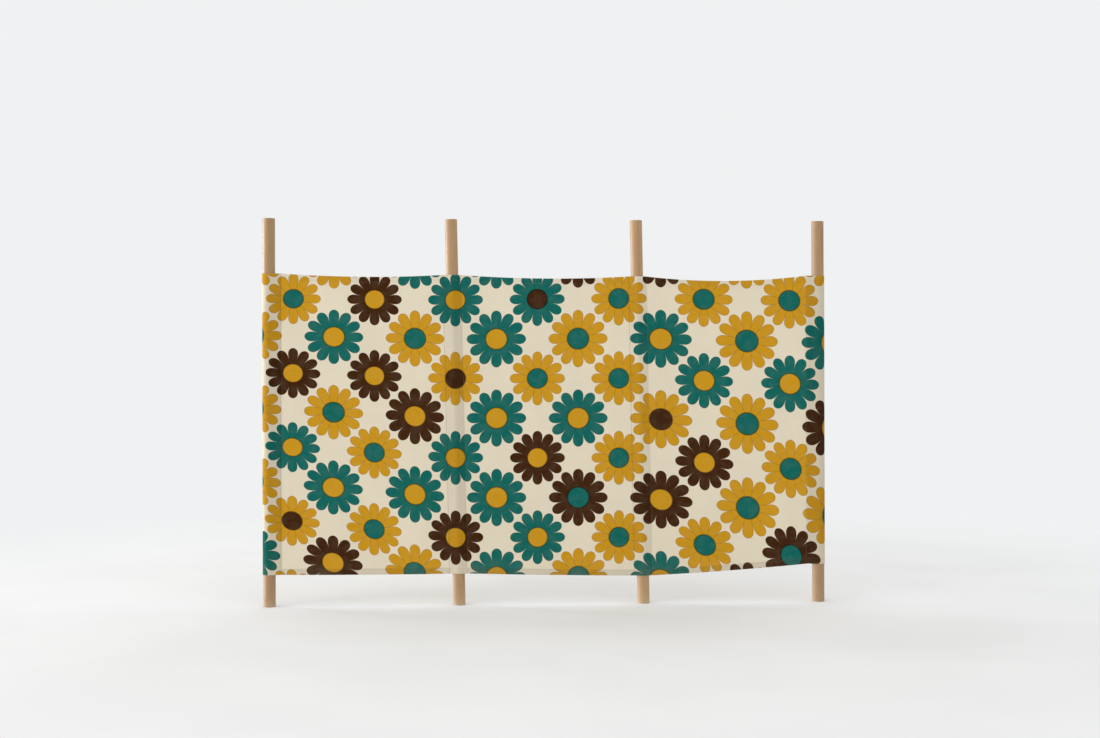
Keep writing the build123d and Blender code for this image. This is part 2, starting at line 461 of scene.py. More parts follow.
def bay_place(bay):
    """What gives the point of a bay at a share of the way across, a height and a depth."""
    def place(share, height, depth):
        x = bay_x(bay, share, height)
        return x, CLOTH_FRONT + depth + relief(x, height), height
    return place


def make_bay(bay):
    number = bay + 1
    share = np.linspace(0, 1, BAY_COLUMNS + 1)
    left, right = bay_sides(bay, (POLES[bay]["low"] + POLES[bay]["high"]) / 2)
    width = right - left
    low = bay_edge(bay, share, "low", BOTTOM_SAGS)
    high = bay_edge(bay, share, "high", TOP_SAGS)
    seam_gap = width * np.minimum(share, 1 - share)
    cloth = Cloth()
    cloth.add(bay_place(bay), share, share * width, partial(bay_x, bay), low, high, seam_gap)
    piece = cloth.build(f"printed_bay_{number}")
    nodes = [f"bay_cloth_{number}", f"bay_top_hem_{number}", f"bay_bottom_hem_{number}"]
    finish_cloth(piece, nodes)


# Sleeves round the poles

class Plan:
    """A line round a pole, seen from above: its points, outward normals and length so far."""

    def __init__(self, *runs):
        points = np.concatenate([places for places, _ in runs])
        normals = np.concatenate([normals for _, normals in runs])
        keep = np.diff(lengths_along(points), prepend=-1) > SAME_POINT
        self.points = points[keep]
        self.normals = normals[keep]
        self.length = lengths_along(self.points)

    def at(self, length, depth):
        place = sample(self.points, self.length, length)
        place = place - depth[..., None] * sample(self.normals, self.length, length)
        return place[..., 0], place[..., 1]

    def face_front(self, end):
        """Turns the normal at one end of the line to the front, as the bay's there is."""
        self.normals[end] = TO_THE_FRONT[:2]


def touch_angle(point, side):
    """The angle at which a straight run from a point touches the sleeve's round part, along the
    front of the pole for side -1 and along its back for side 1."""
    turn = side if point[0] > 0 else -side
    return atan2(point[1], point[0]) + turn * acos(SLEEVE_OUTER / hypot(*point))


def straight_run(start, end, columns, outward):
    return np.linspace(start, end, columns + 1), [outward] * (columns + 1)


def on_circle(angle, radius=1.0):
    return (radius * cos(angle), radius * sin(angle))


def round_run(start_angle, end_angle):
    columns = ceil(abs(end_angle - start_angle) / (2 * pi) * ARC_COLUMNS_PER_TURN)
    angles = np.linspace(start_angle, end_angle, columns + 1)
    normals = np.column_stack([np.cos(angles), np.sin(angles)])
    return SLEEVE_OUTER * normals, normals


def wall_plan(start, end, start_side, end_side, middle_turns):
    """A sleeve's wall: straight to the round part, round it and straight to the end."""
    first = touch_angle(start, start_side)
    last = touch_angle(end, end_side) + middle_turns * 2 * pi
    return Plan(
        straight_run(start, on_circle(first, SLEEVE_OUTER), RUN_COLUMNS, on_circle(first)),
        round_run(first, last),
        straight_run(on_circle(last, SLEEVE_OUTER), end, RUN_COLUMNS, on_circle(last)),
    )


def sleeve_place(pole, plan):
    """What gives the point of a sleeve at a length along its plan, a height and a depth."""
    def place(length, height, depth):
        x, y = plan.at(length, depth)
        x = x + pole_x(pole, height)
        return x, y + relief(x, height), height
    return place


def add_sleeve_part(cloth, pole, plan, lengths, flat, seam_gap, hems, shift):
    """A wall or a flap. flat says how far from its pole it starts with the cloth laid flat, and
    which way it goes on from there."""
    start, onwards = flat

    def flat_x(length, height):
        return pole_x(pole, height) + start + onwards * length

    low = np.full_like(plan.length, POLES[pole]["low"])
    high = np.full_like(plan.length, POLES[pole]["high"])
    place = sleeve_place(pole, plan)
    cloth.add(place, plan.length, lengths, flat_x, low, high, seam_gap, hems, shift)


def add_wall(cloth, pole, plan, flat, shift=(0, 0)):
    """The wall of a sleeve, with hems at its top and bottom."""
    seam_gap = -np.minimum(plan.length, plan.length[-1] - plan.length)
    add_sleeve_part(cloth, pole, plan, plan.length, flat, seam_gap, True, shift)


def add_flap(cloth, pole, side, wall_end, flat, shift=(0, 0)):
    """The flap beyond a seam, sewn to the back of the bay. wall_end is its wall's length."""
    start = (side * (seam_offset(pole) - CLOTH / 2), FLAP_BACK)
    end = (side * (seam_offset(pole) + SEAM_FLAP), FLAP_BACK)
    plan = Plan(straight_run(start, end, FLAP_COLUMNS, TO_THE_BACK[:2]))
    add_sleeve_part(cloth, pole, plan, wall_end + plan.length, flat, plan.length, False, shift)


def finish_sleeve(cloth, pole, name, hem_name):
    """Builds a sleeve."""
    number = pole + 1
    piece = cloth.build(f"printed_{name}_{number}")
    nodes = [f"{name}_{number}", f"{hem_name}_top_hem_{number}", f"{hem_name}_bottom_hem_{number}"]
    finish_cloth(piece, nodes)


def make_sleeve_front(pole):
    """The cloth drawn over the front of a middle pole."""
    plan = wall_plan((-MIDDLE_SEAM, CLOTH_FRONT), (MIDDLE_SEAM, CLOTH_FRONT), -1, -1, 0)
    plan.face_front(0)
    plan.face_front(-1)
    total = plan.length[-1]
    cloth = Cloth()
    add_wall(cloth, pole, plan, (-MIDDLE_SEAM, 2 * MIDDLE_SEAM / total))
    finish_sleeve(cloth, pole, "sleeve_front", "sleeve_front")
    return plan


def make_sleeve_strip(pole):
    """The strip behind a middle pole, printed side out, with a sewn flap at each side."""
    corner = MIDDLE_SEAM + CLOTH / 2
    plan = wall_plan((corner, FLAP_BACK), (-corner, FLAP_BACK), 1, 1, 1)
    total = plan.length[-1]
    cloth = Cloth()
    add_wall(cloth, pole, plan, (total / 2, -1), STRIP_PRINT_SHIFT)
    for side in (1, -1):
        add_flap(cloth, pole, side, total, (side * total / 2, side), STRIP_PRINT_SHIFT)
    finish_sleeve(cloth, pole, "sleeve_strip", "sleeve_strip")
    return plan


def make_end_sleeve(pole):
    """The end of the cloth, wrapped round an end pole and sewn down behind the bay."""
    side = 1 if pole == 0 else -1
    front = (side * END_SEAM, CLOTH_FRONT)
    back = (side * (END_SEAM + CLOTH / 2), FLAP_BACK)
    plan = wall_plan(front, back, -1, 1, -side)
    plan.face_front(0)
    total = plan.length[-1]
    cloth = Cloth()
    add_wall(cloth, pole, plan, (side * END_SEAM, -side))
    add_flap(cloth, pole, side, total, (side * (END_SEAM - total), -side))
    finish_sleeve(cloth, pole, "end_sleeve", "end")
    return plan


# Stitches

class Stitching:
    """Rows of stitches, each a short length of thread that dips into the cloth at both ends."""

    SIDES = 4
    CELL_MARGIN = 0.05
    # Each ring's share of the way along the stitch from its middle, its lift and its girth,
    # both in thread radii
    RINGS = ((-0.5, -0.6, 0.55), (0.0, 0.45, 1.0), (0.5, -0.6, 0.55))

    def __init__(self):
        self.points = []
        self.stitches = 0

    def row(self, path, outward):
        """Stitches along a path of points on the cloth. outward points away from the cloth."""
        lengths = lengths_along(path)
        count = int(lengths[-1] / STITCH_PITCH)
        middles = (np.arange(count) + 0.5) * lengths[-1] / count
        start = sample(path, lengths, middles - STITCH_LENGTH / 2)
        end = sample(path, lengths, middles + STITCH_LENGTH / 2)
        normal = sample(np.broadcast_to(outward, path.shape), lengths, middles)
        along = end - start
        across = self.unit(np.cross(along, normal))
        normal = self.unit(np.cross(across, along))
        points = []
        for place, lift, girth in self.RINGS:
            centre = (start + end) / 2 + place * along + lift * THREAD_RADIUS * normal
            for corner in range(self.SIDES):
                angle = 2 * pi * (corner + 0.5) / self.SIDES
                ring = cos(angle) * across + sin(angle) * normal
                points.append(centre + girth * THREAD_RADIUS * ring)
        self.points.append(np.stack(points, 1).reshape(-1, 3))
        self.stitches += count

    @staticmethod
    def unit(vectors):
        return vectors / np.linalg.norm(vectors, axis=1, keepdims=True)

    def stitch_faces(self):
        """The faces of one stitch: round its sides from ring to ring, and its two ends."""
        sides = self.SIDES
        last = (len(self.RINGS) - 1) * sides
        faces = []
        for ring in range(0, last, sides):
            for corner in range(sides):
                after = (corner + 1) % sides
                faces.append([ring + corner, ring + after, ring + sides + after, ring + sides + corner])
        faces.append(list(range(sides))[::-1])
        faces.append(list(range(last, last + sides)))
        return np.array(faces)

    def build(self, name):
        """The finished piece, with all its faces turned outwards."""
        one = self.stitch_faces()
        size = len(self.RINGS) * self.SIDES
        faces = (one + (np.arange(self.stitches) * size)[:, None, None]).reshape(-1, 4)
        points = np.concatenate(self.points)
        corners = points[one]
        middle = points[:size].mean(axis=0)
        outward = np.cross(corners[:, 2] - corners[:, 0], corners[:, 3] - corners[:, 1])
        if ((corners.mean(axis=1) - middle) * outward).sum() < 0:
            faces = faces[:, ::-1]
        mesh = new_mesh(name, points.tolist(), faces.tolist(), [MATERIALS["thread"]])
        self.bake_map(mesh, len(one))
        mesh.shade_smooth()
        piece = put_in_scene(name, mesh)
        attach(piece, "root")

    def bake_map(self, mesh, faces_each):
        """Each stitch's faces lie side by side in a small cell of their own."""
        cells = ceil(self.stitches ** 0.5)
        stitch = np.repeat(np.arange(self.stitches), faces_each)
        face = np.tile(np.arange(faces_each), self.stitches)
        near, far = self.CELL_MARGIN, 1 - self.CELL_MARGIN
        corner = np.array([(near, near), (far, near), (far, far), (near, far)])
        left = (stitch % cells + face / faces_each) / cells
        low = (stitch // cells) / cells
        u = left[:, None] + corner[None, :, 0] / (faces_each * cells)
        v = low[:, None] + corner[None, :, 1] / cells
        add_map(mesh, "OFBake", np.stack([u, v], -1))


def sew_seams(pole):
    """One row at each seam of a sleeve, seen on the printed face and on the flap behind."""
    low = POLES[pole]["low"] + STITCH_ROW_START
    high = POLES[pole]["high"] - STITCH_ROW_START
    heights = np.linspace(low, high, LONG_ROW_POINTS)
    stitching = Stitching()
    for side in {0: [1], LAST_POLE: [-1]}.get(pole, [-1, 1]):
        x = pole_x(pole, heights) + side * (seam_offset(pole) + STITCH_ROW_INSET)
        for y, outward in ((CLOTH_FRONT, TO_THE_FRONT), (FLAP_BACK, TO_THE_BACK)):
            stitching.row(np.stack([x, y + relief(x, heights), heights], -1), outward)
    stitching.build(f"seam_thread_{pole + 1}")


def sew_bay_hems(bay):
    """One row along each hem of a bay, seen on both faces."""
    share = np.linspace(BAY_ROW_START_SHARE, 1 - BAY_ROW_START_SHARE, LONG_ROW_POINTS)
    place = bay_place(bay)
    stitching = Stitching()
    for key, sags, sign in (("high", TOP_SAGS, -1), ("low", BOTTOM_SAGS, 1)):
        height = bay_edge(bay, share, key, sags) + sign * HEM_STITCH_INSET
        for depth, outward in ((0, TO_THE_FRONT), (HEM_BACK, TO_THE_BACK)):
            stitching.row(np.stack(place(share, height, np.full_like(share, depth)), -1), outward)
    stitching.build(f"hem_thread_{bay + 1}")


def sew_sleeve_hems(pole, plans):
    """One row along the hems of a sleeve, on its outer face."""
    stitching = Stitching()
    for plan in plans:
        place = sleeve_place(pole, plan)
        length = np.linspace(STITCH_ROW_START, plan.length[-1] - STITCH_ROW_START, SLEEVE_ROW_POINTS)
        level = np.zeros_like(length)
        outward = np.column_stack([sample(plan.normals, plan.length, length), level])
        for height in (POLES[pole]["high"] - HEM_STITCH_INSET, POLES[pole]["low"] + HEM_STITCH_INSET):
            stitching.row(np.stack(place(length, level + height, level), -1), outward)
    stitching.build(f"sleeve_hem_thread_{pole + 1}")


# Shader building. In the functions below, g is the graph that they add nodes to.

VALUE = "NodeSocketFloat"
VECTOR = "NodeSocketVector"


def colour(red, green, blue):
    """A colour written as on a screen, from 0 to 255, as the linear values that nodes take."""
    shares = [value / 255 for value in (red, green, blue)]
    return tuple(v / 12.92 if v <= 0.04045 else ((v + 0.055) / 1.055) ** 2.4 for v in shares) + (1.0,)


class Graph:
    """Adds nodes to a tree and joins them."""

    def __init__(self, tree):
        self.tree = tree
        self.tree.nodes.clear()
        self.count = 0

    def add(self, kind, values=None, **settings):
        node = self.tree.nodes.new(kind)
        node.location = (self.count * 40 % 4000, -(self.count * 40 // 4000) * 300)
        self.count += 1
        for key, value in settings.items():
            setattr(node, key, value)
        for key, value in (values or {}).items():
            self.give(node.inputs[key], value)
        return node

    def give(self, socket, value):
        if isinstance(value, bpy.types.NodeSocket):
            self.tree.links.new(value, socket)
        else:
            socket.default_value = value

    def math(self, operation, *values, clamp=False):
        values = dict(enumerate(values))
        return self.add("ShaderNodeMath", values, operation=operation, use_clamp=clamp).outputs[0]

    def plus(self, first, second):
        return self.math("ADD", first, second)

    def minus(self, first, second, clamp=False):
        return self.math("SUBTRACT", first, second, clamp=clamp)

    def times(self, first, second, clamp=False):
        return self.math("MULTIPLY", first, second, clamp=clamp)

    def divide(self, first, second):
        return self.math("DIVIDE", first, second)

    def distance(self, x, y):
        """How far a place is from the middle, from its two coordinates."""
        return self.math("SQRT", self.plus(self.times(x, x), self.times(y, y)))

    def mix(self, share, first, second, blend="MIX"):
        values = {0: share, 6: first, 7: second}
        return self.add("ShaderNodeMix", values, data_type="RGBA", blend_type=blend).outputs[2]

    def between(self, share, first, second):
        return self.add("ShaderNodeMix", {0: share, 2: first, 3: second}, data_type="FLOAT").outputs[0]

    def step(self, value, start, end, low=0.0, high=1.0):
        """A smooth change from low to high as value goes from start to end."""
        values = {0: value, 1: start, 2: end, 3: low, 4: high}
        return self.add("ShaderNodeMapRange", values, interpolation_type="SMOOTHSTEP").outputs[0]

    def split(self, vector):
        return self.add("ShaderNodeSeparateXYZ", {0: vector}).outputs

    def vector(self, x, y, z):
        return self.add("ShaderNodeCombineXYZ", {0: x, 1: y, 2: z}).outputs[0]

    def grey(self, tone):
        return self.add("ShaderNodeCombineColor", {0: tone, 1: tone, 2: tone}).outputs[0]

    def noise(self, vector, scale, detail=2.0, rough=0.5):
        values = {"Vector": vector, "Scale": scale, "Detail": detail, "Roughness": rough}
        return self.add("ShaderNodeTexNoise", values).outputs[0]

    def streaks(self, vector, scales, detail=2.0, rough=0.5):
        """Noise with a scale of its own along each axis."""
        scaled = self.add("ShaderNodeVectorMath", {0: vector, 1: scales}, operation="MULTIPLY")
        return self.noise(scaled.outputs[0], 1.0, detail, rough)

    def shift(self, noise, width):
        """Noise as a shift to both sides, over a width in all."""
        return self.times(self.minus(noise, 0.5), width)

    def bump(self, height, strength, distance):
        values = {"Strength": strength, "Distance": distance, "Height": height}
        return self.add("ShaderNodeBump", values).outputs[0]

    def uv_map(self, name):
        return self.add("ShaderNodeUVMap", uv_map=name).outputs[0]

    def object_place(self):
        return self.add("ShaderNodeTexCoord").outputs["Object"]

    def group(self, name, values):
        return self.add("ShaderNodeGroup", values, node_tree=GROUPS[name]).outputs


def new_group(name, inputs):
    """A new node group with named inputs, and the graph and inputs to build it with."""
    tree = bpy.data.node_groups.new(name, "ShaderNodeTree")
    for label, kind in inputs.items():
        tree.interface.new_socket(label, in_out="INPUT", socket_type=kind)
    graph = Graph(tree)
    return graph, graph.add("NodeGroupInput").outputs


def finish_group(g, outputs):
    """Gives a group its outputs, each a value with a name."""
    for label in outputs:
        g.tree.interface.new_socket(label, in_out="OUTPUT", socket_type=VALUE)
    g.add("NodeGroupOutput", outputs)
    return g.tree


# The print as a shared effect

def nearest_flower(g, column, half_row, odd, size):
    """The nearest flower of the even or the odd set: its column and half row, and how far across,
    down and straight its middle is from the place, in radii of the flower."""
    def nearest(value):
        pair = g.divide(value, 2.0)
        if odd:
            return g.math("MULTIPLY_ADD", g.math("FLOOR", pair), 2.0, 1.0)
        return g.times(g.math("ROUND", pair), 2.0)

    flower_column = nearest(column)
    flower_row = nearest(half_row)
    x = g.divide(g.minus(column, flower_column), size[0])
    y = g.divide(g.minus(half_row, flower_row), size[1])
    return flower_column, flower_row, x, y, g.distance(x, y)


def petal_spread(g, away, turn):
    """How far a place is from the petal's middle line. It grows in the tip, which rounds it off,
    and towards the flower's middle, where the petal gets narrower."""
    across = g.times(away, g.math("SINE", turn))
    up = g.times(away, g.math("COSINE", turn))
    past = g.math("MAXIMUM", g.minus(up, PETAL_TIP_START), 0.0)
    past = g.times(past, PETAL_HALF_WIDTH / PETAL_TIP_LENGTH)
    short = g.math("MAXIMUM", g.minus(PETAL_WIDEST, up), 0.0)
    return g.math("MULTIPLY_ADD", short, PETAL_TAPER, g.distance(across, past))


def petal_lines(g, away, turn, spread):
    """Thin lines between the petals and along their outline, outside the flower's centre."""
    to_next_petal = g.times(g.minus(PETAL_SECTOR / 2, g.math("ABSOLUTE", turn)), away)
    between_petals = g.step(to_next_petal, 0.004, 0.013, 1.0, 0.0)
    to_rim = g.minus(PETAL_HALF_WIDTH, spread)
    outline = g.step(to_rim, 0.01, 0.024, 1.0, 0.0)
    drawn = g.math("MAXIMUM", between_petals, outline)
    return g.times(drawn, g.step(away, CENTRE_RADIUS, CENTRE_RADIUS + 0.03))


def inside(g, value, limit):
    """1 up to a limit and 0 beyond it, with the soft edge of the print."""
    return g.step(value, limit - PRINT_SOFTNESS, limit + PRINT_SOFTNESS, 1.0, 0.0)


def count_off(g, column, row, factors, repeat):
    """A share from 0 to 1 that changes from flower to flower in a long repeat."""
    by_column, by_row, by_both, first = factors
    total = g.math("MULTIPLY_ADD", column, by_column, first + 0.5)
    total = g.math("MULTIPLY_ADD", row, by_row, total)
    total = g.math("MULTIPLY_ADD", g.times(column, row), by_both, total)
    return g.divide(g.math("FLOORED_MODULO", total, repeat), repeat)


def deal_inks(g, column, row):
    """The inks of a flower's petals and centre: 0 mustard, 1 teal and 2 brown. The usual centre
    is teal in mustard petals and mustard in the others. The other one is the third ink."""
    share = count_off(g, column, row, PETAL_INK_COUNT, PETAL_INK_REPEAT)
    not_mustard = g.math("GREATER_THAN", share, MUSTARD_SHARE)
    petal_ink = g.plus(not_mustard, g.math("GREATER_THAN", share, MUSTARD_SHARE + TEAL_SHARE))
    usual = g.minus(1.0, not_mustard)
    other = g.minus(g.minus(3.0, petal_ink), usual)
    centre_share = count_off(g, column, row, CENTRE_INK_COUNT, CENTRE_INK_REPEAT)
    seldom = g.math("GREATER_THAN", centre_share, USUAL_CENTRE_SHARE)
    return petal_ink, g.between(seldom, usual, other)


def daisy_print():
    """Flowers in two sets, one halfway between the other. It puts out where the petals, centres,
    overlapping inks and lines between petals are, and which of three inks each flower has."""
    g, inputs = new_group("daisy print", {"Place": VECTOR, "Ragged": VALUE})
    column, half_row, _ = g.split(inputs["Place"])
    even = nearest_flower(g, column, half_row, False, EVEN_FLOWER_SIZE)
    odd = nearest_flower(g, column, half_row, True, ODD_FLOWER_SIZE)
    is_odd = g.math("LESS_THAN", odd[-1], even[-1])
    nearer = [g.between(is_odd, *values) for values in zip(even, odd)]
    flower_column, flower_row, x, y, away = nearer

    turn = g.divide(g.math("ARCTAN2", x, y), PETAL_SECTOR)
    turn = g.times(g.minus(turn, g.math("ROUND", turn)), PETAL_SECTOR)
    spread = g.plus(petal_spread(g, away, turn), inputs["Ragged"])
    ragged_away = g.plus(away, inputs["Ragged"])
    to_centre_rim = g.math("ABSOLUTE", g.minus(ragged_away, CENTRE_RADIUS))
    petal_ink, centre_ink = deal_inks(g, flower_column, flower_row)
    return finish_group(g, {
        "Petals": inside(g, spread, PETAL_HALF_WIDTH),
        "Centre": inside(g, ragged_away, CENTRE_RADIUS),
        "Overlap": g.step(to_centre_rim, 0.014, 0.036, 1.0, 0.0),
        "Lines": petal_lines(g, away, turn, spread),
        "Petal Ink": petal_ink,
        "Centre Ink": centre_ink,
    })


# Other shared effects

def canvas_weave():
    """Plain woven cotton: the threads' height, thicker yarns, and slow changes of tone."""
    g, inputs = new_group("canvas weave", {"Place": VECTOR, "Thread Pitch": VALUE})
    thread_waver = 0.0012
    yarn_relief = 1.6
    along_yarn = 9.0
    across_yarn = 620.0
    place = inputs["Place"]
    waver = g.shift(g.noise(place, 60.0, 1.0), thread_waver)
    x, y, _ = g.split(place)
    turn_x = g.times(g.divide(g.plus(x, waver), inputs["Thread Pitch"]), pi)
    turn_y = g.times(g.divide(g.plus(y, waver), inputs["Thread Pitch"]), pi)
    over_x = g.math("ABSOLUTE", g.math("SINE", turn_x))
    over_y = g.math("ABSOLUTE", g.math("SINE", turn_y))
    crossing = g.times(g.math("COSINE", turn_x), g.math("COSINE", turn_y))
    height = g.between(g.math("GREATER_THAN", crossing, 0.0), over_x, over_y)
    level = g.streaks(place, (along_yarn, across_yarn, 1.0), 1.0)
    upright = g.streaks(place, (across_yarn, along_yarn, 1.0), 1.0)
    yarn = g.times(g.plus(level, upright), 0.5)
    height = g.plus(height, g.times(yarn, yarn_relief))
    return finish_group(g, {"Height": height, "Yarn": yarn, "Tone": g.noise(place, 4.5, 3.0, 0.55)})


def sand_dust():
    """Fine sand that clings low on the object, thinning out upwards in patches."""
    g, inputs = new_group("sand dust", {"Place": VECTOR, "Reach": VALUE, "Amount": VALUE})
    place = inputs["Place"]
    low = g.minus(1.0, g.divide(g.split(place)[2], inputs["Reach"]), clamp=True)
    patches = g.step(g.noise(place, 14.0, 3.0, 0.6), 0.3, 0.7)
    dust = g.times(g.times(low, low), patches)
    grains = g.step(g.noise(place, 900.0, 1.0), 0.55, 0.72)
    return finish_group(g, {
        "Dust": g.times(dust, inputs["Amount"], clamp=True),
        "Grains": g.times(grains, dust, clamp=True),
    })


def wood_grain():
    """Growth rings cut lengthwise on the sides and across on the ends, with short dark flecks."""
    g, inputs = new_group("wood grain", {"Place": VECTOR, "Ring Width": VALUE, "Pith": VECTOR})
    trunk_bend = 0.03
    ring_wander = 0.0016
    place = inputs["Place"]
    x, y, _ = g.split(place)
    pith_x, pith_y, _ = g.split(inputs["Pith"])
    bend = g.shift(g.streaks(place, (7.0, 7.0, 1.1)), trunk_bend)
    across = g.plus(g.minus(x, pith_x), bend)
    deep = g.minus(y, pith_y)
    wander = g.times(g.streaks(place, (90.0, 90.0, 3.0)), ring_wander)
    from_pith = g.plus(g.distance(across, deep), wander)
    ring = g.math("FRACT", g.divide(from_pith, inputs["Ring Width"]))
    late_wood = g.times(g.step(ring, 0.35, 0.92), g.step(ring, 0.99, 0.93))
    flecks = g.streaks(place, (900.0, 900.0, 95.0), 1.0)
    return finish_group(g, {
        "Rings": late_wood,
        "Fibres": g.streaks(place, (1400.0, 1400.0, 22.0), 2.0, 0.6),
        "Flecks": g.step(flecks, 0.66, 0.74),
        "Tone": g.streaks(place, (16.0, 16.0, 2.2), 3.0, 0.6),
    })


# Looks of the cloth. Less light comes through where a hem or a pole backs it, so the hems and sleeves are
# painted darker there, as painted shade.
CREAM = colour(223, 211, 187)
REVERSE_CREAM = colour(220, 209, 187)
TEAL = colour(8, 98, 90)
MUSTARD = colour(197, 144, 24)
BROWN = colour(61, 31, 4)
MUSTARD_LINE = colour(140, 96, 26)
CANVAS_THREAD_PITCH = 0.0011
RAGGED_PRINT = 0.012
# How much colour is left under the painted shade of the top hem, the bottom hem and each sleeve
TOP_HEM_SHADE = 0.93
BOTTOM_HEM_SHADE = 0.83
SLEEVE_SHADES = (0.79, 0.84, 0.88, 0.77)
SHADE_CHANGE = 0.1

# Looks of the poles. A pith is the middle of a pole's tree, seen from the middle of the pole, and
# each pole's wood comes from further up the trunk than the last one's.
EARLY_WOOD = colour(182, 145, 102)
LATE_WOOD = colour(150, 112, 71)
WARM_WOOD = colour(161, 124, 80)
DARK_FIBRE = colour(134, 97, 56)
DARK_FLECK = colour(118, 84, 55)
SAWN_WOOD = colour(140, 105, 73)
SCUFFED_WOOD = colour(206, 180, 148)
RING_WIDTH = 0.0034
POLE_TONES = (0.84, 0.92, 0.96, 0.82)
PITHS = ((0.021, 0.033), (-0.03, 0.024), (0.012, -0.04), (-0.024, 0.03))
NEXT_IN_TRUNK = 3.0

# Looks of the thread
THREAD_SHADOW = colour(152, 131, 100)
THREAD_LIGHT = colour(176, 157, 124)

# Looks of the sand dust
SAND = colour(206, 184, 150)
GRAIN_ON_CLOTH = colour(150, 122, 88)
GRAIN_ON_WOOD = colour(140, 112, 80)
DUST_REACH = 0.12
CLOTH_DUST_START = 0.11
THREAD_DUST_REACH = 0.3


# Materials

def new_material(name):
    material = bpy.data.materials.new(name)
    material.use_nodes = True
    return material, Graph(material.node_tree)


def finish_material(g, base, rough, normal, sheen=0.0, specular=0.5):
    surface = g.add("ShaderNodeBsdfPrincipled", {
        "Base Color": base, "Roughness": rough, "Normal": normal,
        "Sheen Weight": sheen, "Sheen Roughness": 0.5, "Specular IOR Level": specular,
    })
    g.add("ShaderNodeOutputMaterial", {"Surface": surface.outputs[0]})


def dusted(g, base, place, reach, amount, grain_share=0.0, grain=SAND):
    """A colour with sand dust over it, and with single grains if grain_share is over 0."""
    dust = g.group("dust", {"Place": place, "Reach": reach, "Amount": amount})
    base = g.mix(dust["Dust"], base, SAND)
    if grain_share:
        base = g.mix(g.times(dust["Grains"], grain_share), base, grain)
    return base


def ink_choice(g, kind):
    """The ink for a kind: 0 mustard, 1 teal and 2 brown."""
    first = g.mix(g.math("GREATER_THAN", kind, 0.5), MUSTARD, TEAL)
    return g.mix(g.math("GREATER_THAN", kind, 1.5), first, BROWN)


def flower_inks(g, daisies):
    """The colour of the flowers, with lines along the petals and darker overlapping inks."""
    petal_ink = ink_choice(g, daisies["Petal Ink"])
    centre_ink = ink_choice(g, daisies["Centre Ink"])
    mustard_petals = g.math("LESS_THAN", daisies["Petal Ink"], 0.5)
    lines = g.times(daisies["Lines"], g.math("MULTIPLY_ADD", mustard_petals, 0.4, 0.2))
    petal_ink = g.mix(lines, petal_ink, g.mix(mustard_petals, BROWN, MUSTARD_LINE))
    inks = g.mix(daisies["Centre"], petal_ink, centre_ink)
    overprint = g.mix(1.0, petal_ink, centre_ink, "MULTIPLY")
    return g.mix(g.times(daisies["Overlap"], 0.7), inks, overprint)


def ink_cover(g, daisies, cut, yarn, fade):
    """How much of the cloth's colour the ink covers, less in patches and on thick yarns."""
    cover = g.math("MAXIMUM", daisies["Petals"], daisies["Centre"])
    patchy = g.step(g.noise(cut, 26.0, 3.0, 0.6), 0.38, 0.66, 0.0, 0.02)
    thin = g.math("MULTIPLY_ADD", g.step(yarn, 0.42, 0.62), 0.005, patchy)
    return g.times(g.times(cover, g.minus(1.0, thin)), 1.0 - fade)


def sleeve_shade(g, x):
    """The painted shade of each sleeve, where its pole blocks the light that comes through the cloth,
    changing in the middle of each bay.
    """
    shade = SLEEVE_SHADES[0]
    for bay in range(LAST_POLE):
        middle = (POLES[bay]["foot"] + POLES[bay + 1]["foot"]) / 2
        change = SLEEVE_SHADES[bay + 1] - SLEEVE_SHADES[bay]
        shade = g.plus(g.step(x, middle - SHADE_CHANGE, middle + SHADE_CHANGE, 0.0, change), shade)
    return shade


def tone_and_painted_shade(g, weave, height, x, edge_gap, seam_gap):
    """How light the cloth is: its yarns, and painted shade on the hems and sleeves and in the dents of
    the stitches.
    """
    yarn_tone = g.step(weave["Yarn"], 0.3, 0.7, 0.98, 1.015)
    slow_tone = g.step(weave["Tone"], 0.3, 0.7, 0.98, 1.012)
    at_top = g.math("GREATER_THAN", height, MIDDLE_HEIGHT)
    # Painted shade on the hems, where less light comes through the doubled cloth: soft towards the top
    # edge, even over the bottom hem
    top_hem = g.step(edge_gap, 0.002, 0.05, TOP_HEM_SHADE, 1.0)
    bottom_hem = g.step(edge_gap, HEM - 0.001, HEM + 0.003, BOTTOM_HEM_SHADE, 1.0)
    hem_painted_shade = g.between(at_top, bottom_hem, top_hem)
    # Painted shade on the sleeves, where a pole backs the cloth
    sleeve_painted_shade = g.step(seam_gap, -0.004, 0.003, sleeve_shade(g, x), 1.0)
    # Painted shade in the dent along each row of hem stitches
    to_stitches = g.math("ABSOLUTE", g.minus(edge_gap, HEM_STITCH_INSET))
    stitch_dent_painted_shade = g.step(to_stitches, 0.0004, 0.0016, 0.96, 1.0)
    # The darker of the painted hem shade and the painted sleeve shade
    combined_painted_shade = g.math("MINIMUM", hem_painted_shade, sleeve_painted_shade)
    return g.times(g.times(yarn_tone, slow_tone), g.times(combined_painted_shade, stitch_dent_painted_shade))


def puckers(g, cut, scales, gap, reach):
    """Small ripples that a row of stitches draws in the cloth, as far as reach from its edge."""
    return g.times(g.streaks(cut, scales, 1.0), g.step(gap, 0.0, reach, 1.0, 0.0))


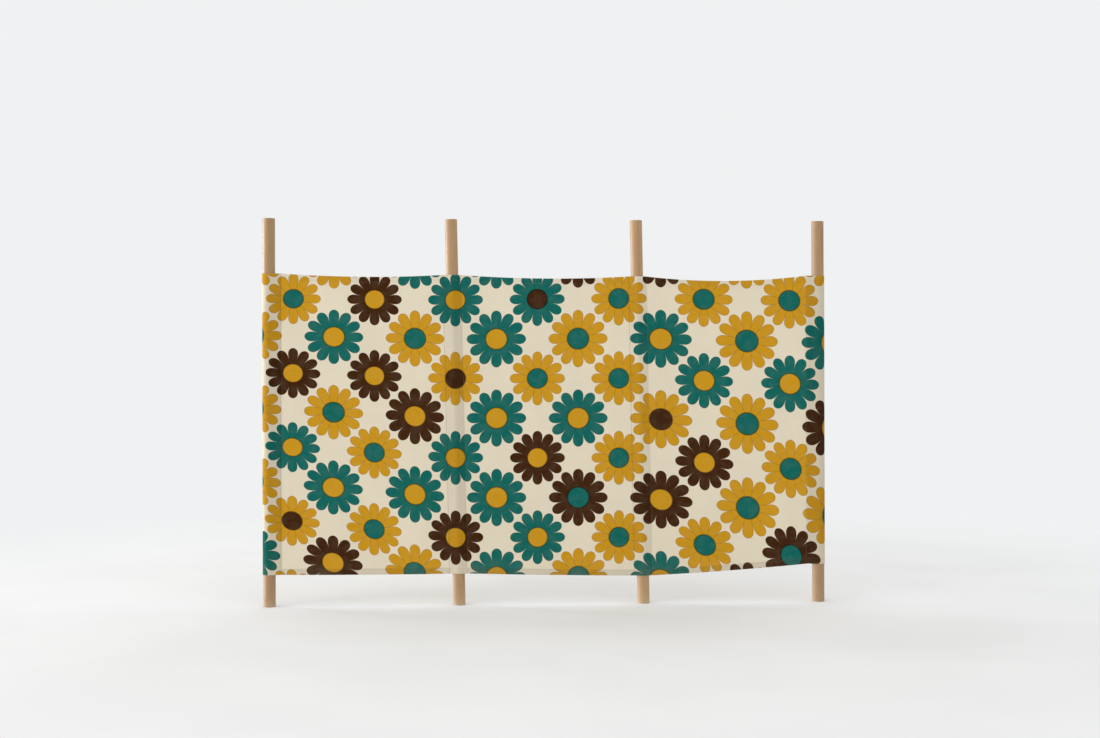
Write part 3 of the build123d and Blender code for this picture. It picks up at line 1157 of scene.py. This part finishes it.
def printed_cotton(name, fade):
    """The printed cotton. fade is how much the print is lost on the side that is looked at."""
    material, g = new_material(name)
    cut = g.uv_map("cut")
    edge_gap, seam_gap, _ = g.split(g.uv_map("edge"))
    place = g.object_place()
    x, y, z = g.split(place)
    weave = g.group("weave", {"Place": cut, "Thread Pitch": CANVAS_THREAD_PITCH})
    ragged = g.shift(g.noise(cut, 900.0, 1.0), RAGGED_PRINT)
    daisies = g.group("daisies", {"Place": g.uv_map("print"), "Ragged": ragged})

    ground = REVERSE_CREAM if fade else CREAM
    cover = ink_cover(g, daisies, cut, weave["Yarn"], fade)
    base = g.mix(cover, ground, flower_inks(g, daisies))
    # The yarns' tone and the painted shade of hems, sleeves and stitch dents, multiplied into the colour
    tone = tone_and_painted_shade(g, weave, g.split(cut)[1], x, edge_gap, seam_gap)
    base = g.mix(1.0, base, g.grey(tone), "MULTIPLY")
    fold_wear = g.step(edge_gap, 0.0006, 0.0018, 0.2, 0.0)
    base = g.mix(g.times(fold_wear, g.step(weave["Tone"], 0.4, 0.6)), base, ground)
    above_hem = g.vector(x, y, g.minus(z, CLOTH_DUST_START))
    base = dusted(g, base, above_hem, DUST_REACH, 0.12, 0.25, GRAIN_ON_CLOTH)

    rough = g.step(weave["Yarn"], 0.3, 0.7, 0.82, 0.92)
    seam_puckers = puckers(g, cut, (60.0, 300.0, 1.0), seam_gap, 0.02)
    hem_puckers = puckers(g, cut, (260.0, 60.0, 1.0), edge_gap, 0.04)
    height = g.math("MULTIPLY_ADD", g.plus(seam_puckers, hem_puckers), 4.0, weave["Height"])
    finish_material(g, base, rough, g.bump(height, 0.35, 0.00022), specular=0.08)
    return material


def wood_colour(g, grain):
    """Pale wood with darker growth rings, patches, fibres and flecks."""
    base = g.mix(g.times(grain["Rings"], 0.55), EARLY_WOOD, LATE_WOOD)
    base = g.mix(g.step(grain["Tone"], 0.35, 0.7, 0.0, 0.45), base, WARM_WOOD)
    base = g.mix(g.step(grain["Fibres"], 0.45, 0.7, 0.0, 0.3), base, DARK_FIBRE)
    return g.mix(g.times(grain["Flecks"], 0.35), base, DARK_FLECK)


def with_sawn_top(g, base, own_place, away, z):
    """The wood's colour with a darker sawn top and a scuffed rim round it."""
    sawn = g.step(z, POLE_HEIGHT - 0.003, POLE_HEIGHT - 0.001)
    base = g.mix(g.times(sawn, 0.35), base, SAWN_WOOD)
    at_side = g.step(away, POLE_RADIUS - 0.003, POLE_RADIUS - 0.0008)
    at_top = g.step(z, POLE_HEIGHT - 0.004, POLE_HEIGHT - 0.0012)
    scuffs = g.step(g.noise(own_place, 120.0, 2.0), 0.4, 0.65, 0.0, 0.5)
    return g.mix(g.times(g.times(at_side, at_top), scuffs), base, SCUFFED_WOOD)


def pole_wood(name, pole):
    """Pale turned wood. Each pole is cut from another part of the tree."""
    material, g = new_material(name)
    place = g.object_place()
    x, y, z = g.split(place)
    centred = g.minus(x, g.math("MULTIPLY_ADD", z, -POLES[pole]["slope"], POLES[pole]["foot"]))
    own_place = g.vector(centred, y, g.plus(z, NEXT_IN_TRUNK * pole))
    pith = (*PITHS[pole], 0.0)
    grain = g.group("wood", {"Place": own_place, "Ring Width": RING_WIDTH, "Pith": pith})

    base = wood_colour(g, grain)
    base = with_sawn_top(g, base, own_place, g.distance(centred, y), z)
    base = dusted(g, base, place, DUST_REACH, 0.5, 0.6, GRAIN_ON_WOOD)
    base = g.mix(1.0, base, (*[POLE_TONES[pole]] * 3, 1.0), "MULTIPLY")
    rough = g.step(grain["Fibres"], 0.3, 0.7, 0.42, 0.56)
    height = g.math("MULTIPLY_ADD", grain["Fibres"], 0.6, g.times(grain["Rings"], 0.5))
    height = g.minus(height, grain["Flecks"])
    finish_material(g, base, rough, g.bump(height, 0.3, 0.0003), specular=0.65)
    return material


def cotton_thread(name):
    """Twisted thread, a little darker than the cloth."""
    material, g = new_material(name)
    place = g.object_place()
    twist = g.noise(place, 2600.0, 1.0)
    base = g.mix(g.step(twist, 0.35, 0.65), THREAD_SHADOW, THREAD_LIGHT)
    base = dusted(g, base, place, THREAD_DUST_REACH, 0.3)
    finish_material(g, base, 0.8, g.bump(twist, 0.4, 0.0001), sheen=0.1, specular=0.3)
    return material


# Studio

STAGE_PALE = colour(240, 241, 242)
STAGE_MIDDLE = Vector((1.167, 0.0, 0.0))
FLOOR_GREY = colour(227, 226, 224)
FLOOR_LIGHT = colour(231, 230, 228)
FLOOR_RINGS = (1.0, 2.0, 3.0, 4.5, 7.0, 12.0, 25.0, 60.0)
FLOOR_CORNERS = 64
FLOOR_FADE = (1.9, 4.2)
SKY_LIGHT = (0.96, 0.98, 1.0, 1.0)
SKY_STRENGTH = 1.03
LAMP_AIM = (1.167, 0.0, 0.8)
# Name, place, size, power and tint of each lamp
LAMPS = (
    ("key", (-12.5, -9.0, 6.0), 6.0, 420.0, (1.0, 0.98, 0.95)),
    ("rim", (-11.3, 5.4, 1.2), 2.0, 950.0, (0.98, 0.99, 1.0)),
    ("side", (-12.5, -0.3, 1.2), 2.0, 680.0, (1.0, 0.99, 0.97)),
)
CAMERA_PLACE = (0.7757, -6.4732, 1.07)
CAMERA_YAW = radians(3.586)
CAMERA_PITCH = radians(0.637)
CAMERA_LENS = 50.0
CAMERA_SENSOR = 36.0
CAMERA_FAR = 200.0


def floor_material():
    """A pale floor that keeps the shadow near the object and fades into the background."""
    material, g = new_material("pale floor")
    place = g.object_place()
    x, y, _ = g.split(place)
    away = g.distance(g.minus(x, STAGE_MIDDLE.x), y)
    cloudy = g.noise(place, 1.3, 2.0)
    base = g.mix(g.step(cloudy, 0.3, 0.7), FLOOR_GREY, FLOOR_LIGHT)
    values = {"Base Color": base, "Roughness": 0.9, "Specular IOR Level": 0.1}
    near = g.add("ShaderNodeBsdfPrincipled", values).outputs[0]
    far = g.add("ShaderNodeEmission", {"Color": STAGE_PALE, "Strength": 1.0}).outputs[0]
    blend = g.add("ShaderNodeMixShader", {0: g.step(away, *FLOOR_FADE), 1: near, 2: far})
    g.add("ShaderNodeOutputMaterial", {"Surface": blend.outputs[0]})
    return material


def make_floor():
    """A round floor, with small faces near the object and large ones far from it."""
    points = [tuple(STAGE_MIDDLE)]
    for radius in FLOOR_RINGS:
        for corner in range(FLOOR_CORNERS):
            x, y = on_circle(2 * pi * corner / FLOOR_CORNERS, radius)
            points.append((STAGE_MIDDLE.x + x, y, 0.0))
    faces = []
    for corner in range(FLOOR_CORNERS):
        after = (corner + 1) % FLOOR_CORNERS
        faces.append((0, 1 + corner, 1 + after))
        for ring in range(len(FLOOR_RINGS) - 1):
            inner = 1 + ring * FLOOR_CORNERS
            outer = inner + FLOOR_CORNERS
            faces.append((inner + corner, outer + corner, outer + after, inner + after))
    floor = put_in_scene("floor", new_mesh("floor", points, faces, [floor_material()]))


def make_world():
    """Even light from all round, and a pale background where the camera looks past the object."""
    world = bpy.data.worlds.new("studio")
    bpy.context.scene.world = world
    world.use_nodes = True
    g = Graph(world.node_tree)
    rays = g.add("ShaderNodeLightPath").outputs
    seen = g.math("MAXIMUM", rays["Is Glossy Ray"], rays["Is Transmission Ray"])
    seen = g.math("MAXIMUM", rays["Is Camera Ray"], seen)
    light = g.add("ShaderNodeBackground", {"Color": SKY_LIGHT, "Strength": SKY_STRENGTH}).outputs[0]
    shown = g.add("ShaderNodeBackground", {"Color": STAGE_PALE, "Strength": 1.0}).outputs[0]
    blend = g.add("ShaderNodeMixShader", {0: seen, 1: light, 2: shown})
    g.add("ShaderNodeOutputWorld", {"Surface": blend.outputs[0]})


def make_lamp(name, place, size, power, tint):
    lamp = bpy.data.lights.new(name, "AREA")
    lamp.shape = "DISK"
    lamp.size = size
    lamp.energy = power
    lamp.color = tint
    holder = put_in_scene(name, lamp)
    holder.location = place
    holder.rotation_euler = (Vector(LAMP_AIM) - Vector(place)).to_track_quat("-Z", "Y").to_euler()


def make_camera():
    camera = bpy.data.cameras.new("camera")
    camera.sensor_width = CAMERA_SENSOR
    camera.lens = CAMERA_LENS
    camera.clip_end = CAMERA_FAR
    level = cos(CAMERA_PITCH)
    forward = Vector((sin(CAMERA_YAW) * level, cos(CAMERA_YAW) * level, -sin(CAMERA_PITCH)))
    holder = put_in_scene("camera", camera)
    holder.location = CAMERA_PLACE
    holder.rotation_euler = forward.to_track_quat("-Z", "Y").to_euler()
    bpy.context.scene.camera = holder


GROUPS = {"daisies": daisy_print(), "weave": canvas_weave(), "dust": sand_dust(), "wood": wood_grain()}
MATERIALS = {
    "printed face": printed_cotton("printed cotton", 0.0),
    "reverse": printed_cotton("printed cotton reverse", 0.55),
    "thread": cotton_thread("cotton thread"),
}

for pole in range(LAST_POLE + 1):
    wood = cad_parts[f"pole_{pole + 1}"]
    wood.data.materials.clear()
    wood.data.materials.append(pole_wood(f"pole wood {pole + 1}", pole))
for bay in range(LAST_POLE):
    make_bay(bay)
    sew_bay_hems(bay)
for pole in range(LAST_POLE + 1):
    if pole in (0, LAST_POLE):
        plans = [make_end_sleeve(pole)]
    else:
        plans = [make_sleeve_front(pole), make_sleeve_strip(pole)]
    sew_sleeve_hems(pole, plans)
    sew_seams(pole)

make_floor()
make_world()
for lamp in LAMPS:
    make_lamp(*lamp)
make_camera()
bpy.context.scene.view_settings.view_transform = "Standard"
